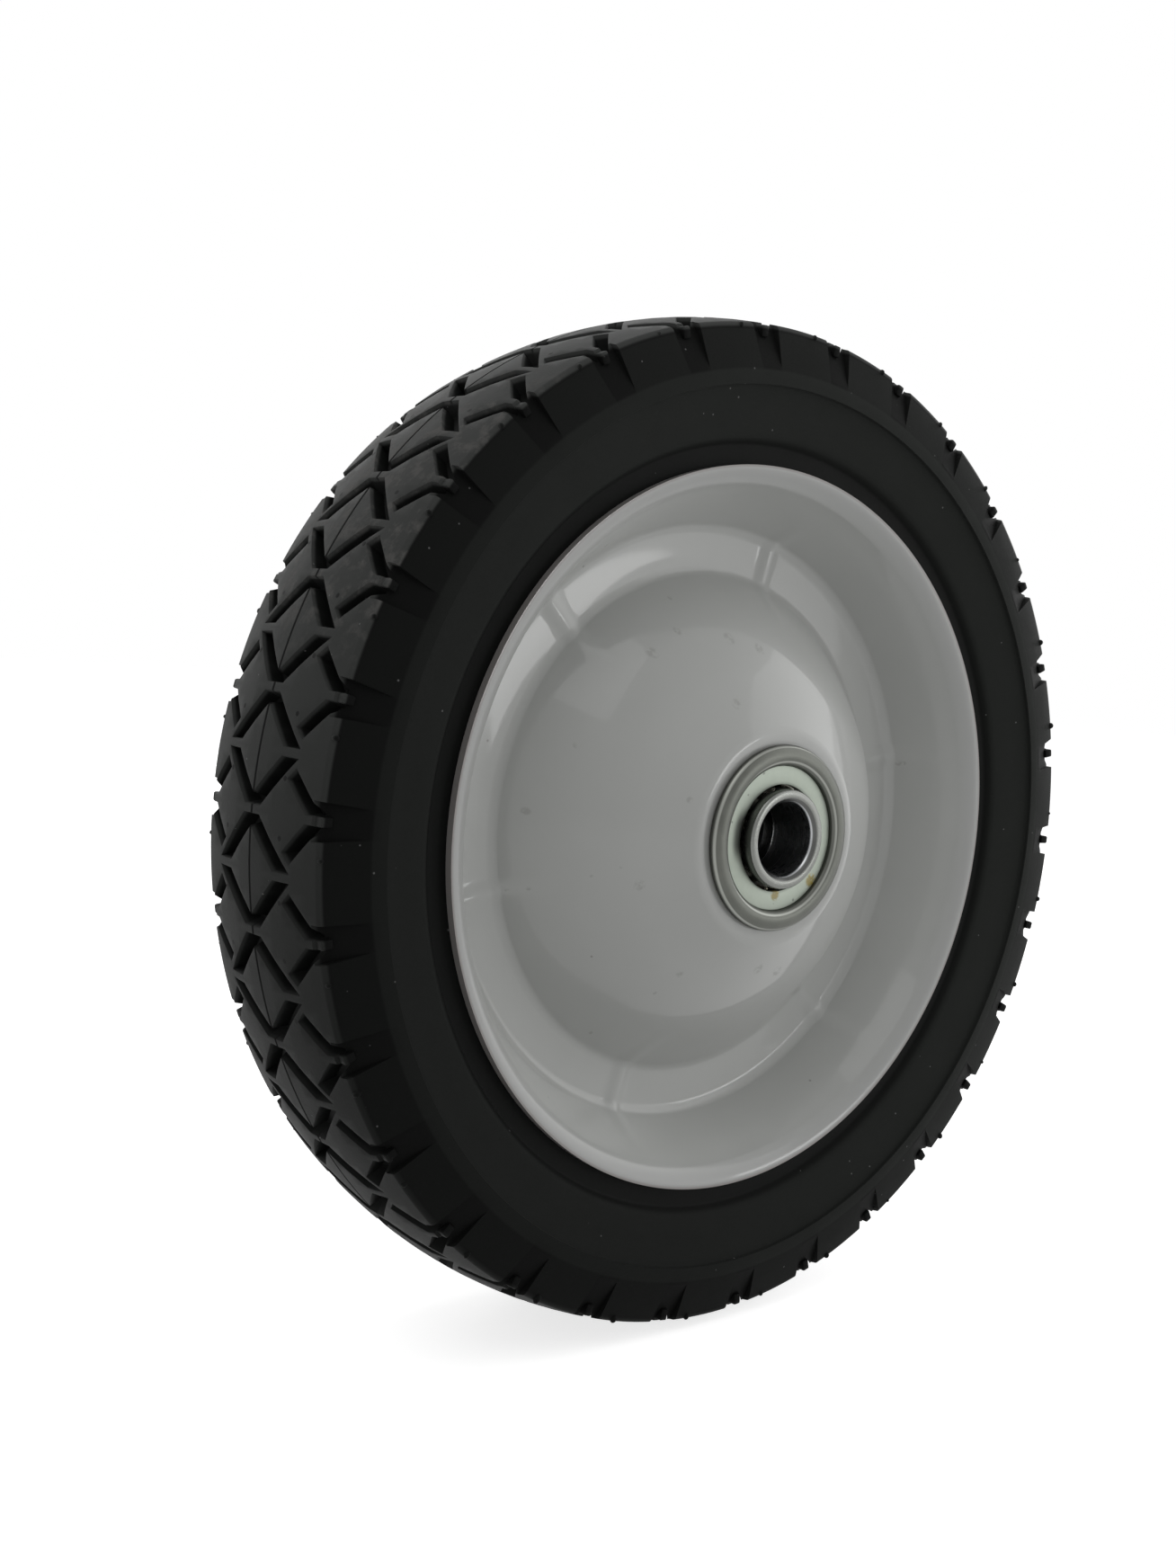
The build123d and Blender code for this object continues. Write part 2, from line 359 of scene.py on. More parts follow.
def cut_notch(facing):
    foot = Vector((0, facing * foot_reach, foot_r))
    floor_up = Vector((0, facing * flank_rise, floor_fall)).normalized()
    flare = NOTCH_HALF - NOTCH_FOOT_HALF
    flanks = [
        (Vector((hand * NOTCH_FOOT_HALF, 0, foot_r)), Vector((hand * flank_rise, 0, -flare)).normalized())
        for hand in (-1, 1)
    ]
    for place, normal in flanks:
        bmesh.ops.bisect_plane(
            tile, geom=near_notch(facing), dist=1e-4, plane_co=place, plane_no=normal
        )

    def between(point):
        return all((point - place).dot(normal) < 1e-4 for place, normal in flanks)

    def chip_faces():
        faces = [g for g in near_notch(facing) if isinstance(g, bmesh.types.BMFace)]
        return [f for f in faces if between(f.calc_center_median())]

    geom = list({g for f in chip_faces() for g in (f, *f.edges, *f.verts)})
    bmesh.ops.bisect_plane(tile, geom=geom, dist=1e-4, plane_co=foot, plane_no=floor_up)
    chip = [f for f in chip_faces() if (f.calc_center_median() - foot).dot(floor_up) > 1e-5]
    bmesh.ops.delete(tile, geom=chip, context="FACES")

    def open_edges():
        return [
            e for e in tile.edges
            if e.is_boundary and all(abs(v.co.x) < 4.5 and v.co.y * facing > 10 for v in e.verts)
        ]

    rim = list({v for e in open_edges() for v in e.verts})
    bmesh.ops.remove_doubles(tile, verts=rim, dist=0.01)
    rim = list({v for e in open_edges() for v in e.verts})

    def lies_on(vert, place, normal):
        return abs((vert.co - place).dot(normal)) < 0.012

    floor_edges = [e for e in open_edges() if all(lies_on(v, foot, floor_up) for v in e.verts)]
    for flank in flanks:
        corners = [v for v in rim if lies_on(v, foot, floor_up) and lies_on(v, *flank)]
        low, top = min(corners, key=lambda v: v.co.z), max(corners, key=lambda v: v.co.z)
        line = tile.edges.new((low, top))
        on_flank = [e for e in open_edges() if all(lies_on(v, *flank) for v in e.verts)]
        wall = [e for e in on_flank if e not in floor_edges and e != line]
        bmesh.ops.edgeloop_fill(tile, edges=[line] + wall)
        floor_edges.append(line)
    bmesh.ops.edgeloop_fill(tile, edges=floor_edges)
    return len(chip)


for facing in (-1, 1):
    print("channel on side", facing, "took", cut_notch(facing), "faces")

# %% Thirty pitches make the tyre
bmesh.ops.triangulate(tile, faces=[f for f in tile.faces if len(f.verts) > 4])
bmesh.ops.spin(
    tile, geom=tile.verts[:] + tile.edges[:] + tile.faces[:], cent=(0, 0, 0), axis=(0, 1, 0),
    dvec=(0, 0, 0), angle=math.tau * (PITCHES - 1) / PITCHES, steps=PITCHES - 1,
    use_merge=False, use_duplicate=True,
)
bmesh.ops.remove_doubles(tile, verts=tile.verts[:], dist=0.004)
bmesh.ops.dissolve_degenerate(tile, edges=tile.edges[:], dist=0.002)
bmesh.ops.rotate(
    tile, cent=(0, 0, 0), verts=tile.verts[:],
    matrix=Matrix.Rotation(math.radians(TREAD_TURN), 3, "Y"),
)
for face in tile.faces:
    face.material_index = 0
bmesh.ops.recalc_face_normals(tile, faces=tile.faces[:])
loose = [e for e in tile.edges if len(e.link_faces) != 2]
print("tyre:", len(tile.faces), "faces,", len(loose), "open edges")
tyre = finish_piece(tile, "tyre_moulding", "wheel", "tyre")

# %% [markdown]
# Two small things stand in each shoulder. The rib between the edge slots ends as a stub in the
# channel, and beside it a vent of the mould has left a nub of rubber. The nubs were torn off by
# hand, so no two are alike: a seeded random number changes the size of each a little.

# %% Rib stubs and vent nubs
STUB_SIZE = Vector((1.5, 1.9, 2.0))
STUB_EDGE = 0.28
STUB_R, STUB_REACH = 85.75, 15.75
VENT_ASIDE = -5.9
VENT_SIZE = 0.52
VENT_R, VENT_REACH = 86.45, 16.62
nub_draw = random.Random(30)
nubs = bmesh.new()


def set_round(verts, radius, reach, aside, facing, step):
    """Carry a shape from the origin to its place at one pitch of a shoulder."""
    turn = math.radians(TREAD_TURN + 360 / PITCHES * step) + aside / TYRE_R
    bmesh.ops.translate(nubs, vec=(0, facing * reach, radius), verts=verts)
    bmesh.ops.rotate(nubs, cent=(0, 0, 0), verts=verts, matrix=Matrix.Rotation(turn, 3, "Y"))


for facing in (-1, 1):
    for step in range(PITCHES):
        stub = bmesh.ops.create_cube(nubs, size=1.0, matrix=Matrix.Diagonal((*STUB_SIZE, 1)))["verts"]
        sides = list({e for v in stub for e in v.link_edges})
        edged = bmesh.ops.bevel(
            nubs, geom=sides, offset=STUB_EDGE, offset_type="OFFSET", segments=2, profile=0.5,
            affect="EDGES", material=-1,
        )
        stub = list({v for f in edged["faces"] for v in f.verts})
        set_round(stub, STUB_R, STUB_REACH, 0.0, facing, step)
        size = VENT_SIZE * nub_draw.uniform(0.6, 1.25)
        vent = bmesh.ops.create_icosphere(nubs, subdivisions=2, radius=size)["verts"]
        bmesh.ops.scale(nubs, vec=(1, 1, nub_draw.uniform(0.9, 1.6)), verts=vent)
        set_round(vent, VENT_R, VENT_REACH, VENT_ASIDE + nub_draw.uniform(-0.4, 0.4), facing, step)
bmesh.ops.recalc_face_normals(nubs, faces=nubs.faces[:])
tyre_nubs = finish_piece(nubs, "tyre_nubs", "wheel", None)

# %% [markdown]
# Each half disc is one round blank of sheet steel, pressed into a dish with a domed middle. The
# shown side is drawn as a line from the rolled rim, down the wall to the flat band where the
# two halves are clamped together, and up the dome to the bearing's collar. Spun round and
# solidified, the line becomes a sheet of even thickness, which is just what a press leaves.

# %% Half disc
SHEET = 1.5
BAND_OUT, BAND_IN = 53.4, 45.2
DOME_BEND, BEND_ROUNDING = (33.3, 15.1), 6.5
DOME_TOP = (18.6, 22.9)
RIBS, RIB_TURN = 6, 16.0
RIB_HALF_WIDTH, RIB_HEIGHT = 2.7, 0.6
DISC_STEPS = 480


def smooth_step(low, high, value):
    part = min(max((value - low) / (high - low), 0), 1)
    return part * part * (3 - 2 * part)


def half_disc():
    bm = bmesh.new()
    dish = [(63.5, 16.4), (60.9, 16.4, 2.5), (57.2, 9.05), (BAND_OUT, SHEET, 1.5), (BAND_IN, SHEET, 1.1)]
    dome = [(*DOME_BEND, BEND_ROUNDING), (*DOME_TOP, 0.8)]
    collar = [(15.12, 22.9, 1.0), (15.12, 15.5)]
    section_wire(bm, dish + dome + collar, segments=6)
    spin_section(bm, DISC_STEPS)
    dome_face = next(f for f in bm.faces if 30 < f.calc_center_median().xz.length < 36)
    if dome_face.normal.y > 0:
        bmesh.ops.reverse_faces(bm, faces=bm.faces[:])
    for vert in bm.verts:
        radius = vert.co.xz.length
        turn = math.degrees(math.atan2(vert.co.x, vert.co.z)) - RIB_TURN
        away = abs((turn + 30) % (360 / RIBS) - 30)
        across = math.radians(away) * radius / RIB_HALF_WIDTH
        if across < 1:
            window = smooth_step(42.6, 45.4, radius) * smooth_step(56.0, 53.2, radius)
            vert.co.y -= RIB_HEIGHT * window * math.cos(across * math.pi / 2) ** 2
    bmesh.ops.solidify(bm, geom=bm.faces[:], thickness=SHEET)
    return bm


def to_rear(bm):
    bmesh.ops.scale(bm, vec=(1, -1, 1), verts=bm.verts[:])
    bmesh.ops.reverse_faces(bm, faces=bm.faces[:])
    return bm


front_disc = finish_piece(half_disc(), "front_disc_pressing", "wheel", "front_disc")
rear_disc = finish_piece(to_rear(half_disc()), "rear_disc_pressing", "wheel", "rear_disc")
for piece in (front_disc, rear_disc):
    reaches = [v.co.y / MM for v in piece.data.vertices]
    print(piece.name, "reaches from", round(min(reaches), 2), "to", round(max(reaches), 2), "mm")

# %% [markdown]
# The bearing is turned from bar: an outer race pressed into the disc's collar, with a rounded
# flange that shows as a bare steel ring, a zinc washer that keeps dirt out, and an inner race
# whose flared end stands proud. All of them are plain rings, so a closed section is spun. Small
# roundings on every corner catch the light as turned edges do.

# %% Bearing rings
RING_STEPS = 144
BALL_REACH, BALL_CIRCLE, GROOVE_R = 18.0, 10.95, 3.235


def groove(land_r, way):
    """Points across a ball groove that opens in a land, from the inner end to the shown end."""
    spread = math.acos((land_r - BALL_CIRCLE) * way / GROOVE_R)
    turns = [spread * part / 4 for part in range(-4, 5)]
    radii = [BALL_CIRCLE + way * GROOVE_R * math.cos(t) for t in turns]
    return list(zip(radii, [BALL_REACH + GROOVE_R * math.sin(t) for t in turns]))


outer_section = groove(12.0, 1) + [
    (12.0, 22.6, 0.1),
    (12.62, 22.6, 0.05),
    (12.62, 24.0, 0.25),
    (13.4, 24.7, 0.6),
    (15.2, 24.75, 0.8),
    (16.2, 24.0, 0.4),
    (16.2, 23.3, 0.15),
    (15.8, 22.9),
    (15.1, 22.9),
    (15.1, 13.6, 0.3),
    (12.0, 13.6, 0.2),
]
inner_section = groove(8.63, -1) + [
    (8.63, 25.7, 0.5),
    (7.25, 25.7, 0.25),
    (6.4, 24.85, 0.3),
    (6.4, 15.8, 0.1),
    (6.75, 15.45),
    (6.75, 13.0, 0.15),
    (8.63, 13.0, 0.2),
]
shield_section = [(9.25, 22.6), (12.6, 22.6), (12.6, 23.5, 0.15), (9.25, 23.5, 0.15)]


def bearing_ring(section):
    bm = bmesh.new()
    section_wire(bm, section, closed=True, segments=3)
    spin_section(bm, RING_STEPS)
    return bm


bearing = {}
for name, section, body, slot in (
    ("outer_race", outer_section, "wheel", "race_steel"),
    ("inner_race", inner_section, "axle_races", "race_steel"),
    ("shield", shield_section, "wheel", "zinc_plate"),
):
    for place in ("front", "rear"):
        ring = bearing_ring(section)
        node = f"{place}_{name}"
        bearing[node] = finish_piece(
            to_rear(ring) if place == "rear" else ring, f"{node}_turned", body, node, sharp_angle=40
        )

# %% [markdown]
# A finish is a small network of nodes. Written link by link it is hard to read, so a socket is
# wrapped in a class that understands Python arithmetic: an expression such as 1 - mask adds
# the Math node it needs. Everything else comes from one method that takes a node's type, its
# settings and what goes into its sockets.


# %% Shader arithmetic
class Tap:
    """A value in a finish's node tree that Python arithmetic can use."""

    def __init__(self, finish, socket):
        self.finish, self.socket = finish, socket

    def math(self, operation, *values, clamp=False):
        sockets = dict(enumerate(values))
        node = self.finish.node("Math", {"operation": operation, "use_clamp": clamp}, sockets)
        return Tap(self.finish, node.outputs[0])

    def __add__(self, other):
        return self.math("ADD", self, other)

    def __sub__(self, other):
        return self.math("SUBTRACT", self, other)

    def __rsub__(self, other):
        return self.math("SUBTRACT", other, self)

    def __mul__(self, other):
        return self.math("MULTIPLY", self, other)

    def __truediv__(self, other):
        return self.math("DIVIDE", self, other)

    def __pow__(self, other):
        return self.math("POWER", self, other)

    def __abs__(self):
        return self.math("ABSOLUTE", self)

    __radd__ = __add__
    __rmul__ = __mul__

    def limit(self):
        return self.math("ADD", self, 0.0, clamp=True)

    def ramp(self, low, high):
        """0 below low and 1 above high, with a soft change between. Low may be above high."""
        node = self.finish.node(
            "MapRange", {"interpolation_type": "SMOOTHSTEP"},
            {"Value": self, "From Min": min(low, high), "From Max": max(low, high)},
        )
        rise = Tap(self.finish, node.outputs["Result"])
        return rise if low < high else 1 - rise


class Network:
    """A tree of shader nodes that one method fills."""

    def __init__(self, tree):
        self.tree = tree

    def node(self, kind, settings, sockets):
        node = self.tree.nodes.new("ShaderNode" + kind)
        for name, value in settings.items():
            setattr(node, name, value)
        for name, value in sockets.items():
            if isinstance(value, Tap):
                self.tree.links.new(value.socket, node.inputs[name])
            else:
                node.inputs[name].default_value = value
        return node


class Finish(Network):
    """A material with one Principled shader, and the places on the wheel as values."""

    def __init__(self, name, **constants):
        self.material = bpy.data.materials.new(name)
        self.material.use_nodes = True
        super().__init__(self.material.node_tree)
        self.shader = self.tree.nodes["Principled BSDF"]
        for socket, value in constants.items():
            self.shader.inputs[socket.replace("_", " ")].default_value = value
        place = self.node("TexCoord", {}, {}).outputs["Object"]
        self.place = Tap(self, place)
        parts = self.node("SeparateXYZ", {}, {"Vector": self.place}).outputs
        self.x, self.y, self.z = (Tap(self, parts[axis]) * (1 / MM) for axis in "XYZ")
        self.radius = (self.x * self.x + self.z * self.z) ** 0.5
        self.turn = self.x.math("ARCTAN2", self.x, self.z)

    def noise(self, scale, detail=3.0, rough=0.55, place=None):
        """Cloudy noise from 0 to 1, with a scale in patches per metre."""
        sockets = {"Vector": place or self.place, "Scale": scale, "Detail": detail, "Roughness": rough}
        return Tap(self, self.node("TexNoise", {}, sockets).outputs["Fac"])

    def specks(self, scale, size):
        """Scattered round dots: 1 in a dot, 0 outside, for a share of the cells."""
        cell = self.node("TexVoronoi", {"feature": "F1"}, {"Vector": self.place, "Scale": scale})
        chance = self.node("SeparateColor", {}, {"Color": Tap(self, cell.outputs["Color"])}).outputs
        inside = Tap(self, cell.outputs["Distance"]).ramp(size, size * 0.5)
        return inside, Tap(self, chance[0])

    def spot(self, turn, radius, size, soft=0.5):
        """1 near one place on the wheel's face, given as a turn in degrees and a radius."""
        angle = math.radians(turn)
        dx = self.x - radius * math.sin(angle)
        dz = self.z - radius * math.cos(angle)
        return ((dx * dx + dz * dz) ** 0.5).ramp(size, size * soft)

    def polar(self, around, along):
        """Coordinates that run round the axle, for marks that turning or rolling leaves."""
        sockets = {0: self.turn * around, 1: self.radius * along, 2: self.y * along}
        return Tap(self, self.node("CombineXYZ", {}, sockets).outputs[0])

    def mix(self, share, first, second):
        """A colour between two, by a share from 0 to 1."""
        sockets = {0: share, 6: first, 7: second}
        return Tap(self, self.node("Mix", {"data_type": "RGBA"}, sockets).outputs[2])

    def bump(self, height, distance, strength=1.0):
        sockets = {"Height": height, "Distance": distance, "Strength": strength}
        return Tap(self, self.node("Bump", {}, sockets).outputs["Normal"])

    def feed(self, **links):
        for socket, value in links.items():
            self.tree.links.new(value.socket, self.shader.inputs[socket.replace("_", " ")])
        return self.material


def grey(value, warm=0.0, green=0.0):
    return (value + warm, value + green, value - warm, 1.0)


# %% [markdown]
# Moulded rubber is not one black. The tread tops are rubbed a little grey, and painted light
# makes them much lighter towards the top of the wheel. The slots stay deep black. Painted light
# lightens the shoulder band and the sidewall towards the upper right, and the ring below the band
# is a little lighter all round and lighter still there. Painted shade darkens the shoulder
# channels. Each of these zones has its own depth or radius, so a few masks tell them apart. The
# line of the mould's two halves stays dark, and one stretch of the tread carries pale scuffs.

# %% Tyre rubber
rubber = Finish("tyre_rubber", Specular_IOR_Level=0.05, IOR=1.5)
cloud = rubber.noise(120.0, 4.0)
fine = rubber.noise(2600.0, 3.0)
crown = (CROWN_ARC**2 - rubber.y * rubber.y) ** 0.5 + (TYRE_R - CROWN_ARC)
depth = crown - rubber.radius
tread_top = depth.ramp(0.95, 0.3) * abs(rubber.y).ramp(17.1, 16.7)
flank = abs(rubber.y).ramp(14.5, 15.6) * (1 - tread_top)
ring = flank * rubber.radius.ramp(79.5, 78.9) * rubber.radius.ramp(67.4, 68.2)
# Painted light: lit_side rises towards the upper right of the wheel, where the rubber is painted lighter.
lit_side = (rubber.x * 0.8 + rubber.z * 0.5).ramp(-70.0, 60.0)
seam = abs(rubber.y).ramp(0.34, 0.16) * tread_top
edge_line = flank * abs(rubber.radius - 86.0).ramp(0.3, 0.1)
PIP_ASIDES, PIP_REACH = (-3.5, 5.4), 8.0
CHANNEL_FOOT_R, CHANNEL_FLARE = 77.5, 0.11
half_turn = math.pi / PITCHES
from_node = rubber.turn - math.radians(TREAD_TURN)
aside = from_node.math("WRAP", from_node, -half_turn, half_turn) * rubber.radius
channel_half = 2.0 + (rubber.radius - CHANNEL_FOOT_R) * CHANNEL_FLARE
# Painted shade: channel marks the shoulder channels, whose rubber is darkened as shade in a recess.
channel = flank * (channel_half - abs(aside)).ramp(-0.25, 0.25) * rubber.radius.ramp(77.6, 78.6)
pips = 0.0
for pip_aside in PIP_ASIDES:
    gap = ((aside - pip_aside) ** 2 + (abs(rubber.y) - PIP_REACH) ** 2) ** 0.5
    pips = gap.ramp(0.5, 0.3) + pips
dust_dot, dust_chance = rubber.specks(420.0, 0.09)
dust = dust_dot * dust_chance.ramp(0.80, 0.84)


def turn_window(low, high, soft=12.0):
    """1 between two turns of the wheel in degrees, fading to 0 outside them."""
    rise = rubber.turn.ramp(math.radians(low - soft), math.radians(low))
    return rise * rubber.turn.ramp(math.radians(high + soft), math.radians(high))


scuff = turn_window(-64, -42) * tread_top * rubber.noise(310.0, 5.0, 0.65).ramp(0.47, 0.66)
dark = rubber.mix(cloud, grey(0.0035, 0.0, 0.0003), grey(0.0060, 0.0, 0.0005))
# Painted light: the shoulder band and sidewall are lighter towards the upper right, by lit_side.
shoulder = rubber.mix(lit_side, dark, grey(0.011, 0.0, 0.0008))
tone = rubber.mix(flank, dark, shoulder)
# Painted shade in the shoulder channels.
tone = rubber.mix(channel * 0.6, tone, grey(0.0025))
# The ring is a little lighter all round, and painted light makes it lighter still towards the upper right.
tone = rubber.mix(ring * (0.38 + 0.62 * lit_side), tone, grey(0.0175, 0.0, 0.0014))
# Painted light: the tread tops are lightened mostly towards the top of the wheel, and only a little elsewhere
# as wear.
painted_top_light = rubber.z.ramp(-55.0, 45.0)
tone = rubber.mix(tread_top * (0.02 + 0.86 * painted_top_light + 0.1 * cloud), tone, grey(0.050, 0.0, 0.0018))
tone = rubber.mix(pips * tread_top * 0.8, tone, grey(0.004))
tone = rubber.mix(scuff * 0.4, tone, grey(0.15, 0.006))
tone = rubber.mix(dust * 0.5, tone, grey(0.20))
tone = rubber.mix(edge_line * 0.6, tone, grey(0.004))
tone = rubber.mix(seam * 0.85, tone, grey(0.005))
gloss = 0.42 + 0.14 * cloud + 0.10 * fine + 0.15 * scuff + 0.16 * flank
skin_bump = rubber.bump(fine * 0.6 + cloud * 0.4, 0.00006, 0.6)
rubber_skin = rubber.feed(Base_Color=tone, Roughness=gloss, Normal=skin_bump)
for piece in (tyre, tyre_nubs):
    piece.data.materials.append(rubber_skin)
print("rubber nodes:", len(rubber.tree.nodes))

# %% [markdown]
# The discs are sprayed white and stoved, which leaves a hard gloss with a faint orange peel.
# Handling has left specks, a few grey scuffs and some dirt in the corner of the clamping band.
# The marks are placed by their turn and radius, so that they stay put on the disc.

# %% White paint
paint = Finish("white_paint", Coat_Weight=0.38, Coat_Roughness=0.06, Specular_IOR_Level=0.2)
haze = paint.noise(45.0, 3.0)
peel = paint.noise(620.0, 2.0, 0.5)
dot, chance = paint.specks(170.0, 0.055)
grit = dot * chance.ramp(0.86, 0.88)
marks = [
    (78, 54.6, 0.7), (274, 41.6, 0.8), (260, 29.9, 0.35), (258, 33.9, 0.35), (256, 41.4, 0.4),
    (256, 43.9, 0.35), (212, 42.9, 0.45), (350, 34.1, 1.3), (0, 32.1, 1.2), (336, 37.4, 0.8),
    (325, 36.9, 1.2), (178, 23.6, 1.2), (165, 25.4, 1.3), (213, 28.4, 0.8), (213, 32.9, 0.4),
    (288, 20.9, 0.7), (338, 24.4, 1.1), (253, 27.6, 1.1), (330, 55.0, 0.5), (342, 41.9, 0.5),
    (243, 54.0, 0.5), (292, 37.9, 0.6),
]
scuffs = paint.spot(*marks[0])
for mark in marks[1:]:
    scuffs = scuffs.math("MAXIMUM", scuffs, paint.spot(*mark))
scuffs = scuffs * paint.noise(1100.0, 3.0).ramp(0.38, 0.58)
# Painted shade: the paint is darkened towards the rolled rim, beside the tyre.
painted_rim_shade = paint.radius.ramp(58.8, 62.0)
rim_edge = paint.radius.ramp(62.9, 63.35)
tone = paint.mix(haze, (0.410, 0.417, 0.403, 1), (0.446, 0.453, 0.439, 1))
tone = paint.mix(painted_rim_shade * 0.42, tone, grey(0.26))
tone = paint.mix(rim_edge * 0.45, tone, (0.16, 0.12, 0.11, 1))
tone = paint.mix(grit * 0.55, tone, grey(0.16, 0.01))
tone = paint.mix(scuffs * 0.3, tone, grey(0.17, 0.012))
gloss = 0.26 + 0.10 * haze + 0.25 * scuffs
paint_bump = paint.bump(peel, 0.00004, 0.35)
white = paint.feed(Base_Color=tone, Roughness=gloss, Normal=paint_bump)
for piece in (front_disc, rear_disc):
    piece.data.materials.append(white)
print("paint nodes:", len(paint.tree.nodes))

# %% [markdown]
# The races are bare steel. Turning and rolling leave fine rings that run round the axle, so the
# noise for them is stretched in polar coordinates: quick across the radius, slow round it.

# %% Race steel
steel = Finish("race_steel", Metallic=1.0)
rings = steel.noise(1.0, 3.0, 0.6, steel.polar(0.8, 9.0))
stain = steel.noise(260.0, 4.0, 0.6)
FLANGE_EDGE_R, FLANGE_CREST_R, BORE_STEP_REACH = 15.9, 13.3, 15.75
# Painted highlights: thin bright lines along the flange's outer edge and along its crest.
painted_edge_highlight = abs(steel.radius - FLANGE_EDGE_R).ramp(0.26, 0.08)
painted_flange_highlights = painted_edge_highlight + abs(steel.radius - FLANGE_CREST_R).ramp(0.26, 0.08)
sleeve = steel.radius.ramp(9.0, 8.8)
bore = steel.radius.ramp(6.75, 6.55)
# Painted highlight: a bright line round the bore at the step near the inner end of the race.
painted_bore_highlight = bore * abs(abs(steel.y) - BORE_STEP_REACH).ramp(0.22, 0.12)
# Painted shade: mouth darkens the chamfer at the entry of the bore.
mouth = abs(steel.radius - 6.85).ramp(0.45, 0.25)
tone = steel.mix(stain, (0.055, 0.058, 0.051, 1), (0.105, 0.108, 0.097, 1))
tone = steel.mix((rings * 0.35).limit(), tone, (0.16, 0.165, 0.15, 1))
# Painted highlights on the flange.
tone = steel.mix(painted_flange_highlights * 0.45, tone, (0.40, 0.41, 0.38, 1))
tone = steel.mix(sleeve * 0.7, tone, (0.19, 0.195, 0.185, 1))
# Painted shade at the bore's mouth.
tone = steel.mix(mouth * 0.7, tone, (0.05, 0.05, 0.05, 1))
tone = steel.mix(bore * 0.8, tone, (0.42, 0.43, 0.44, 1))
# Painted highlight inside the bore.
tone = steel.mix(painted_bore_highlight, tone, (0.9, 0.9, 0.9, 1))
gloss = 0.24 + 0.16 * stain + 0.10 * rings - 0.10 * sleeve
race_steel = steel.feed(Base_Color=tone, Roughness=gloss, Normal=steel.bump(rings, 0.00003, 0.5))
for node, piece in bearing.items():
    if node.endswith("race"):
        piece.data.materials.append(race_steel)

# %% [markdown]
# The washer is zinc plated: pale, faintly green, and matt with tiny pits. A little yellow
# grease has been pressed out beside the inner race and under the flange. Painted shade darkens
# the washer in a thin ring beside the inner race, and a painted shadow of the race's sleeve
# darkens it further on the left.

# %% Zinc washer
zinc = Finish("zinc_plate")
bloom = zinc.noise(330.0, 4.0)
pit_dot, pit_chance = zinc.specks(620.0, 0.2)
pits = pit_dot * pit_chance.ramp(0.74, 0.76)
ragged = zinc.noise(1500.0, 3.0)
under_flange, beside_race = zinc.spot(131, 11.7, 1.5), zinc.spot(179, 9.9, 1.2)
grease = zinc.place.math("MAXIMUM", under_flange, beside_race)
grease = (grease * ragged.ramp(0.30, 0.52)).limit()
tone = zinc.mix(bloom, (0.235, 0.262, 0.225, 1), (0.345, 0.38, 0.33, 1))
# Painted shade: a thin dark ring on the washer beside the inner race.
shade_and_grease_film = zinc.radius.ramp(9.9, 9.3)
# Painted shadow of the race's sleeve, on the left of the washer.
painted_sleeve_shadow = zinc.spot(275, 9.6, 5.6, 0.3) * zinc.radius.ramp(11.6, 10.2)
tone = zinc.mix((shade_and_grease_film * 0.4 + painted_sleeve_shadow * 0.8).limit(), tone, (0.03, 0.032, 0.028, 1))
tone = zinc.mix(pits * 0.6, tone, grey(0.08))
tone = zinc.mix(grease * 0.9, tone, (0.27, 0.21, 0.025, 1))
metal = 0.75 - 0.7 * grease
gloss = 0.42 + 0.16 * bloom - 0.22 * grease
zinc_bump = zinc.bump(bloom * 0.3 + grease - pits * 0.3, 0.0001, 0.6)
zinc_plate = zinc.feed(Base_Color=tone, Roughness=gloss, Metallic=metal, Normal=zinc_bump)
for node, piece in bearing.items():
    if node.endswith("shield"):
        piece.data.materials.append(zinc_plate)

# %% [markdown]
# The balls can only be seen through the narrow gap beside the inner race. They keep their CAD
# shape, which is already a true sphere, and get a polished steel with a thin film of grease.

# %% Ball steel
polished = Finish("ball_steel", Metallic=1.0)
shade_and_grease_film = polished.noise(700.0, 3.0)
tone = polished.mix(shade_and_grease_film, (0.62, 0.62, 0.61, 1), (0.70, 0.66, 0.52, 1))
ball_steel = polished.feed(Base_Color=tone, Roughness=0.08 + 0.25 * shade_and_grease_film)
for node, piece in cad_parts.items():
    if "_ball_" in node:
        piece.data.materials.clear()
        piece.data.materials.append(ball_steel)

# %% [markdown]
# The wheel stands on a plain pale floor under a soft studio light. The backdrop is white where
# the camera or a reflection sees it and dimmer as a light, so that the picture has a clean
# white ground while the white disc and the black rubber keep their tones. The floor does the
# same: for the camera it glows almost to white, and only the wheel's shadow takes it darker.

# %% Floor and backdrop
floor_bm = bmesh.new()
bmesh.ops.create_grid(floor_bm, x_segments=2, y_segments=2, size=3.0)
bmesh.ops.translate(floor_bm, vec=(0, 0, -TYRE_R * MM), verts=floor_bm.verts[:])
floor_mesh = bpy.data.meshes.new("floor")
floor_bm.to_mesh(floor_mesh)
floor_bm.free()
floor = bpy.data.objects.new("floor", floor_mesh)
bpy.context.scene.collection.objects.link(floor)


def seen_directly(network):
    """1 for rays from the camera, a mirror or a glass, and 0 for light that bounces."""
    rays = network.node("LightPath", {}, {}).outputs
    seen = Tap(network, rays["Is Camera Ray"])
    for name in ("Is Glossy Ray", "Is Transmission Ray"):
        seen = seen.math("MAXIMUM", seen, Tap(network, rays[name]))
    return seen


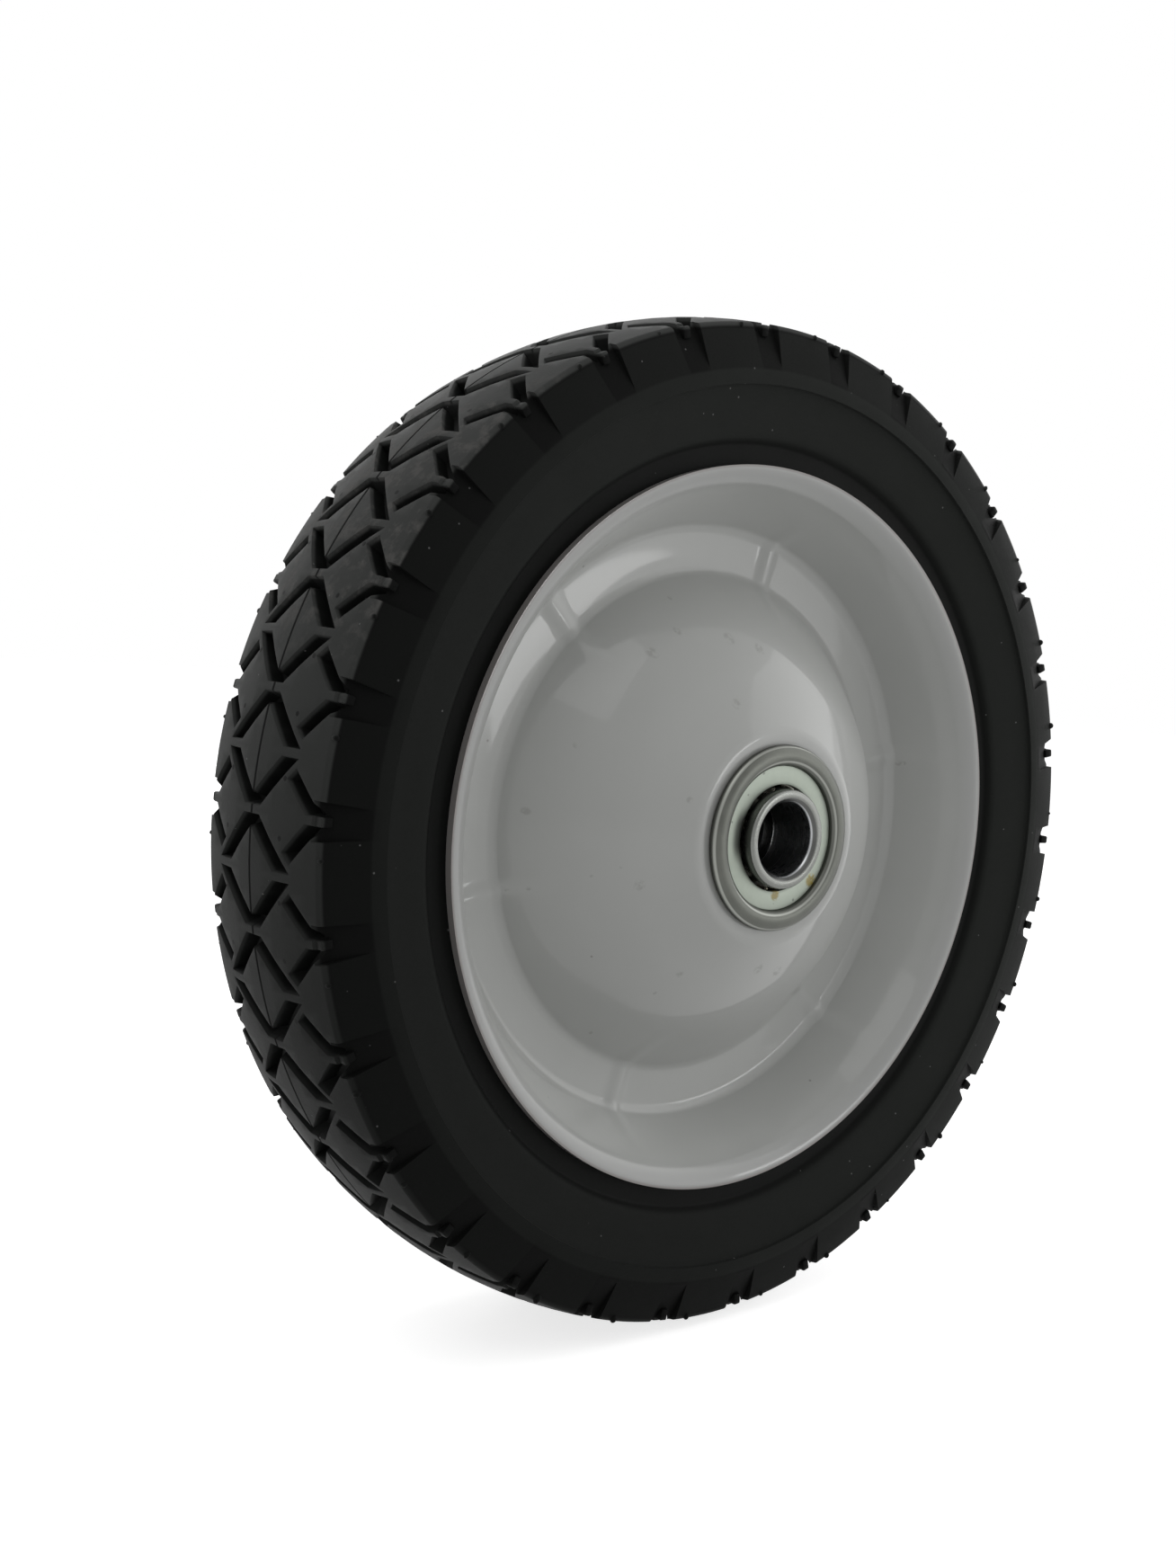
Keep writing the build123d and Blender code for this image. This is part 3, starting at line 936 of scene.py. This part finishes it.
FLOOR_GLOW, WORLD_LIGHT = 0.74, 0.40
pale = Finish("pale_floor", Roughness=0.9, Specular_IOR_Level=0.1, Emission_Strength=1.0)
floor_tone = pale.mix(pale.noise(6.0, 2.0), grey(0.72), grey(0.78))
floor_glow = pale.mix(seen_directly(pale), grey(0.0), grey(FLOOR_GLOW))
floor_mesh.materials.append(pale.feed(Base_Color=floor_tone, Emission_Color=floor_glow))

world = bpy.data.worlds.new("studio")
bpy.context.scene.world = world
world.use_nodes = True
backdrop = world.node_tree.nodes["Background"]
backdrop.inputs["Color"].default_value = (1, 1, 1, 1)
world_level = WORLD_LIGHT + (1 - WORLD_LIGHT) * seen_directly(Network(world.node_tree))
world.node_tree.links.new(world_level.socket, backdrop.inputs["Strength"])
print("world gives", WORLD_LIGHT, "as a light and 1 where it is seen")

# %% [markdown]
# Soft lamps shape the wheel. The widest stands on the right and a little in front, so the dish
# brightens towards the left wall and the dome towards the right. One above keeps the tread
# readable, and one behind gives the rear face the same level. A narrow strip on the right draws
# the streak on the dome, and a small one is what the flat clamping band mirrors to the camera.


# %% Lamps
def lamp(name, place, aim, size, power):
    data = bpy.data.lights.new(name, "AREA")
    data.shape = "RECTANGLE"
    data.size, data.size_y = size
    data.energy = power
    light = bpy.data.objects.new(name, data)
    bpy.context.scene.collection.objects.link(light)
    light.location = place
    light.rotation_euler = (Vector(aim) - Vector(place)).to_track_quat("-Z", "Y").to_euler()
    return light


lamp("overhead", (-0.45, -0.25, 0.90), (0, 0, 0), (0.7, 0.7), 1.9)
lamp("side_bank", (0.90, -0.50, 0.24), (0, 0, 0), (1.0, 1.1), 4.2)
lamp("rear_bank", (0.25, 1.00, 0.35), (0, 0, 0), (1.0, 1.0), 3.2)
lamp("side_strip", (0.90, 0.15, 0.22), (0, 0, 0), (0.09, 0.34), 1.15)
lamp("front_window", (0.60, -0.80, 0.03), (0, 0, 0), (0.15, 0.16), 0.5)

# %% [markdown]
# The scene is shown with Blender's Standard view transform.

# %% View transform
bpy.context.scene.view_settings.view_transform = "Standard"
